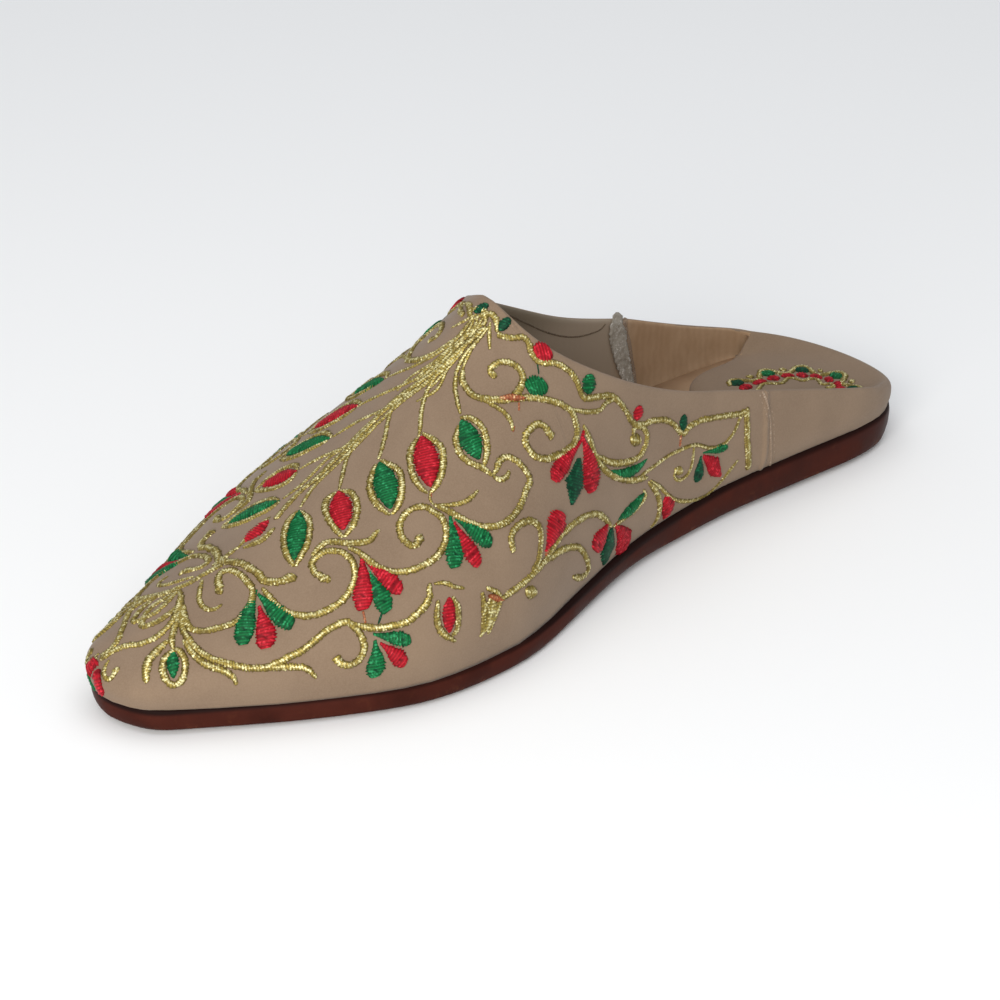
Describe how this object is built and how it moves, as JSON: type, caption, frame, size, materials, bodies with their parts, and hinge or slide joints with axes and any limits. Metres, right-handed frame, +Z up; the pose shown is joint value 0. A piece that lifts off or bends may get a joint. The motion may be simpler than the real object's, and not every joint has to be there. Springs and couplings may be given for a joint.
{
  "type": "slipper",
  "caption": "Flat backless leather slipper with a long pointed toe, a high pointed throat, a back folded down inside and a one-piece low wedge sole.",
  "frame": {"origin": "on the floor, below the middle of the slipper's bounding box", "axes": "+X towards the toe, +Y towards the inner (medial) side of this right slipper, +Z up"},
  "size_m": [0.274, 0.095, 0.0785],
  "materials": {
    "sole_brown": "smooth, softly shining, lightly scuffed",
    "insole_tan": "thin lining leather",
    "nubuck_beige": "fine matt nap"
  },
  "bodies": {
    "root": {"outsole": "sole_brown", "insole": "insole_tan", "upper": "nubuck_beige"}
  },
  "joints": []
}
